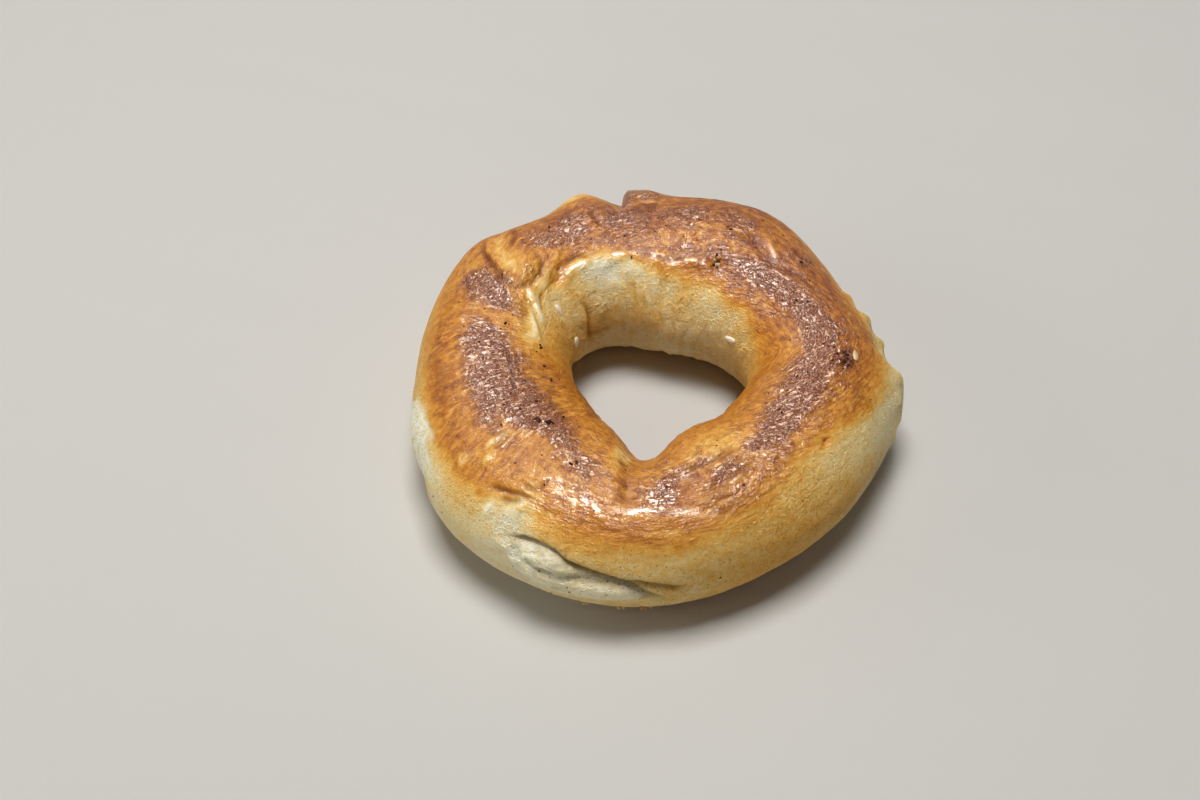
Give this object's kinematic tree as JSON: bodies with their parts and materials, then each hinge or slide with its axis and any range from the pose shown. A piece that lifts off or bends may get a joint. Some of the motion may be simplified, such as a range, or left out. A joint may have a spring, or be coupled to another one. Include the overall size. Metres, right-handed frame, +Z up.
{
  "type": "bagel",
  "caption": "Hand-rolled bread bagel: an uneven ring with a glossy browned crust, an overlapped join, a twist fold and a torn pale side, which rests on its flat underside.",
  "frame": {"origin": "on the surface the bagel rests on, under the middle of its box", "axes": "+Z up through the hole; -Y is the front, where the crust is torn at the left; +X is the right side"},
  "size_m": [0.1142, 0.1124, 0.0345],
  "materials": {
    "bagel": "baked bread crust, egg-washed and glossy, amber to dark red-brown on top, pale tan to cream on the sides and where it is torn"
  },
  "bodies": {
    "root": {"bagel": "bagel"}
  },
  "joints": []
}
